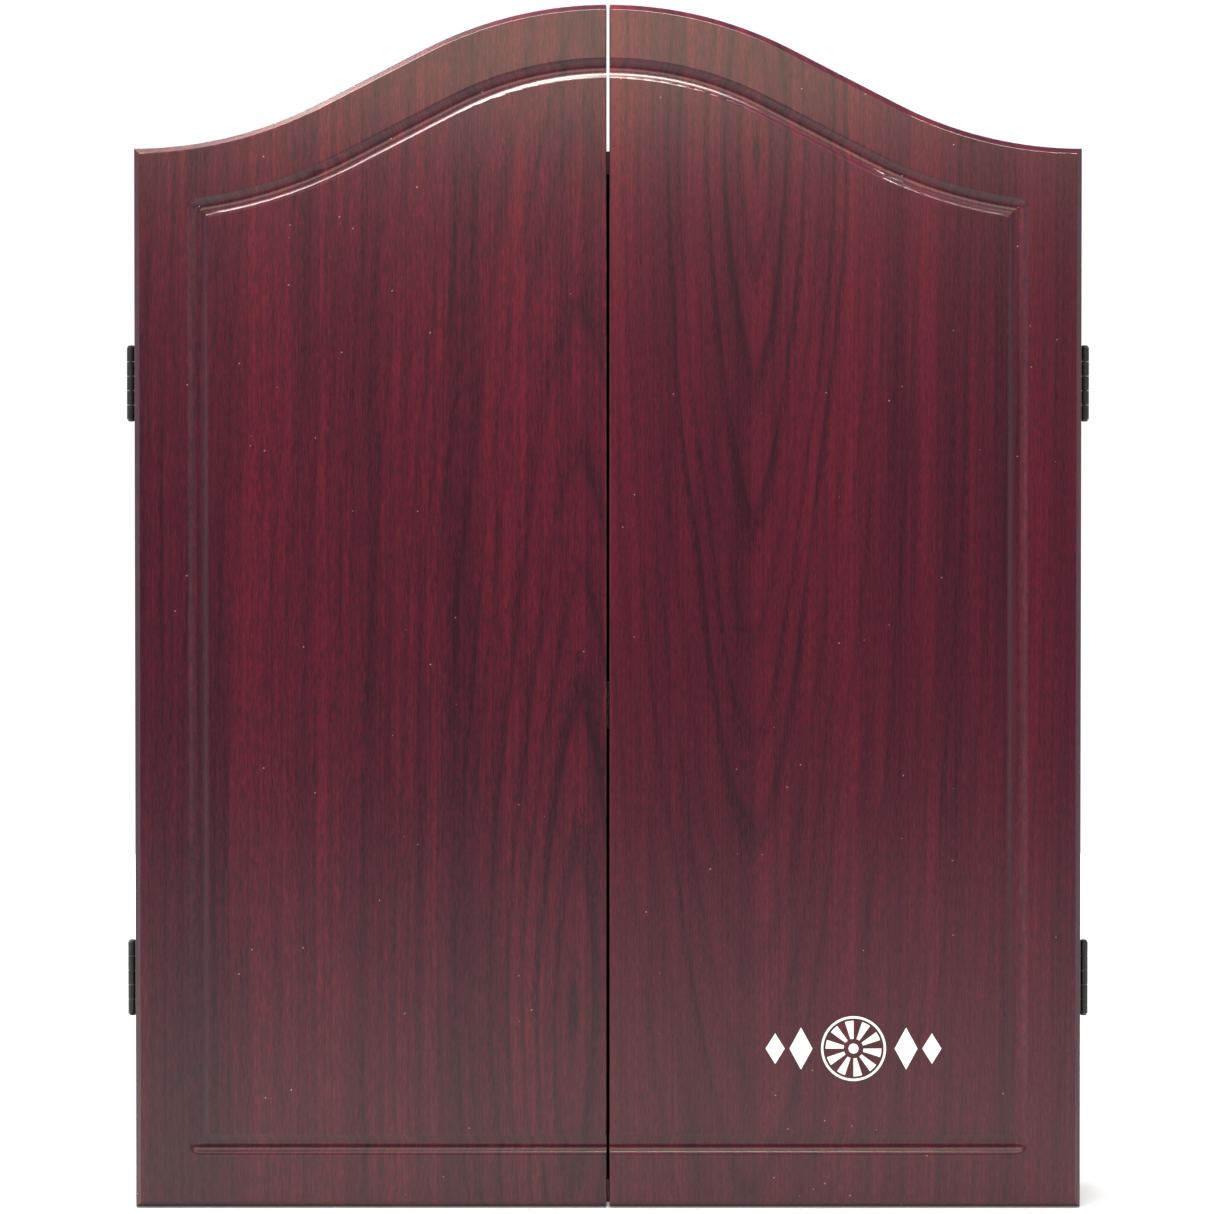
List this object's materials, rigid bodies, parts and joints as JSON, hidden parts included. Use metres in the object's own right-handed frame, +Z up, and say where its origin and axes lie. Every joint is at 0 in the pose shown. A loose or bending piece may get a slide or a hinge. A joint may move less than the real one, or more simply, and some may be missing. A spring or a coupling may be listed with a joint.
{
  "type": "dart board cabinet",
  "caption": "Shallow wall cabinet for a dart board: wood case, arched double doors on butt hinges, magnetic catches, scoreboards and dart racks inside.",
  "frame": {"origin": "on the wall plane, at the centre of the case's back face, behind the centre of the dart board", "axes": "+X to the viewer's right, +Y into the wall, +Z up; the doors face -Y and are drawn closed"},
  "size_m": [0.5062, 0.0893, 0.629],
  "materials": {
    "mahogany_foil": "satin wine-red mahogany foil on board",
    "back_board": "dark printed face, bare brown rear",
    "beech_dowel": "bare fluted beech",
    "black_hinge_steel": "satin black",
    "zinc_steel": "bright zinc plate",
    "catch_plastic": "moulded brown",
    "ferrite_magnet": "matt dark grey",
    "scoreboard_sheet": "black wipe-clean sheet with white rules and numbers",
    "rack_plastic": "fine-textured black",
    "bumper_rubber": "matt",
    "white_print": "white transfer"
  },
  "bodies": {
    "case": {"left_side_board": "mahogany_foil", "right_side_board": "mahogany_foil", "top_board": "mahogany_foil", "bottom_board": "mahogany_foil", "back_panel": "back_board", "corner_dowels": "beech_dowel", "left_upper_hinge_case_leaf": "black_hinge_steel", "left_upper_hinge_pin": "black_hinge_steel", "left_lower_hinge_case_leaf": "black_hinge_steel", "left_lower_hinge_pin": "black_hinge_steel", "right_upper_hinge_case_leaf": "black_hinge_steel", "right_upper_hinge_pin": "black_hinge_steel", "right_lower_hinge_case_leaf": "black_hinge_steel", "right_lower_hinge_pin": "black_hinge_steel", "case_hinge_screws": "black_hinge_steel", "board_bracket": "zinc_steel", "wall_screw_washers": "zinc_steel", "back_panel_nails": "zinc_steel", "board_bracket_screws": "zinc_steel", "catch_screws": "zinc_steel", "catch_pole_plates": "zinc_steel", "left_catch_housing": "catch_plastic", "right_catch_housing": "catch_plastic", "catch_magnets": "ferrite_magnet", "door_bumpers": "bumper_rubber"},
    "left_door": {"left_door_panel": "mahogany_foil", "left_scoreboard": "scoreboard_sheet", "left_scoreboard_screws": "zinc_steel", "left_dart_rack": "rack_plastic", "left_dart_rack_screws": "zinc_steel", "left_strike_plate": "zinc_steel", "left_strike_plate_screws": "zinc_steel", "left_door_hinge_screws": "black_hinge_steel", "left_upper_hinge_door_leaf": "black_hinge_steel", "left_lower_hinge_door_leaf": "black_hinge_steel"},
    "right_door": {"right_door_panel": "mahogany_foil", "right_scoreboard": "scoreboard_sheet", "right_scoreboard_screws": "zinc_steel", "right_dart_rack": "rack_plastic", "right_dart_rack_screws": "zinc_steel", "right_strike_plate": "zinc_steel", "right_strike_plate_screws": "zinc_steel", "right_door_hinge_screws": "black_hinge_steel", "right_upper_hinge_door_leaf": "black_hinge_steel", "right_lower_hinge_door_leaf": "black_hinge_steel", "right_door_emblem": "white_print"}
  },
  "joints": [
    {"name": "left_door_swing", "type": "hinge", "parent": "case", "child": "left_door", "pos_m": [-0.2508, -0.073, 0], "axis": [0, 0, -1], "range_deg": [0, 180]},
    {"name": "right_door_swing", "type": "hinge", "parent": "case", "child": "right_door", "pos_m": [0.2508, -0.073, 0], "axis": [0, 0, 1], "range_deg": [0, 180]}
  ]
}
